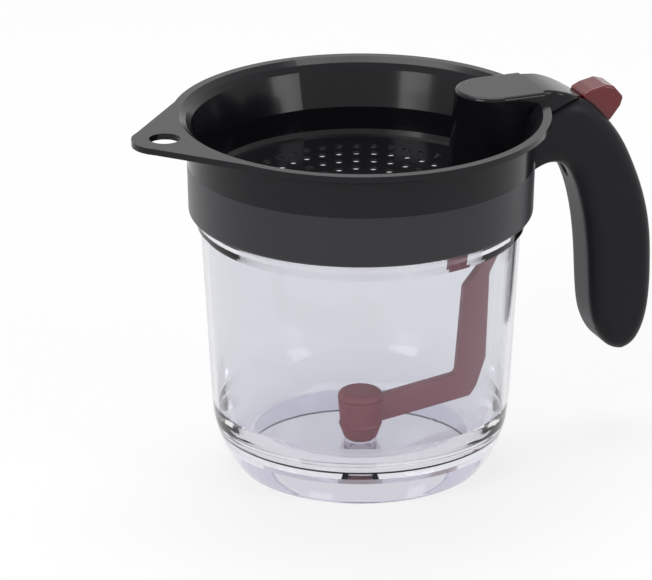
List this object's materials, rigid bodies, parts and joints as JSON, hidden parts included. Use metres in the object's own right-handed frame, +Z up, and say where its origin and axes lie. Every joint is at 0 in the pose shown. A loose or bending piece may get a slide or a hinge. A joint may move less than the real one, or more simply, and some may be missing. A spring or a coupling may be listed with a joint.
{
  "type": "gravy fat separator",
  "caption": "Clear gravy fat separator cup with a strainer lid, and a thumb lever in the handle that lifts a plug out of the bottom drain.",
  "frame": {"origin": "on the cup's axis, in the plane of the table that the foot ring stands on", "axes": "+Z up along the cup's axis, +X from the axis towards the handle, +Y across the handle"},
  "size_m": [0.2186, 0.15, 0.1498],
  "materials": {
    "cup_clear": "clear",
    "collar_plastic": "satin",
    "guide_plastic": "satin",
    "handle_plastic": "satin",
    "cover_plastic": "matte",
    "lid_plastic": "glossy",
    "lever_plastic": "satin",
    "button_plastic": "glossy",
    "arm_plastic": "satin",
    "plug_silicone": "matte",
    "steel": "brushed",
    "spring_steel": "drawn wire"
  },
  "bodies": {
    "cup_body": {"cup": "cup_clear", "collar": "collar_plastic", "arm_guide": "guide_plastic", "guide_screw": "steel", "handle_shell": "handle_plastic", "handle_cover": "cover_plastic", "handle_screw_inner": "steel", "handle_screw_outer": "steel", "pivot_pin": "steel", "return_spring": "spring_steel"},
    "lever_body": {"rocker_lever": "lever_plastic", "thumb_button": "button_plastic"},
    "arm_body": {"lift_arm": "arm_plastic", "link_pin": "steel", "silicone_plug": "plug_silicone"},
    "lid_body": {"strainer_lid": "lid_plastic"}
  },
  "joints": [
    {"name": "lever_hinge", "type": "hinge", "parent": "cup_body", "child": "lever_body", "pos_m": [0.08, 0, 0.1346], "axis": [0, 1, 0], "range_deg": [0, 14], "stiffness_Nm_per_rad": 0.4, "springref_deg": -8.59, "deforming": ["return_spring"]},
    {"name": "arm_lift", "type": "slide", "parent": "cup_body", "child": "arm_body", "axis": [0, 0, 1], "range_m": [0, 0.00561]},
    {"name": "lid_lift", "type": "slide", "parent": "cup_body", "child": "lid_body", "axis": [0, 0, 1], "range_m": [0, 0.08]}
  ],
  "couplings": [
    {"joint": "arm_lift", "follows": "lever_hinge", "m_per_rad": 0.02294}
  ]
}
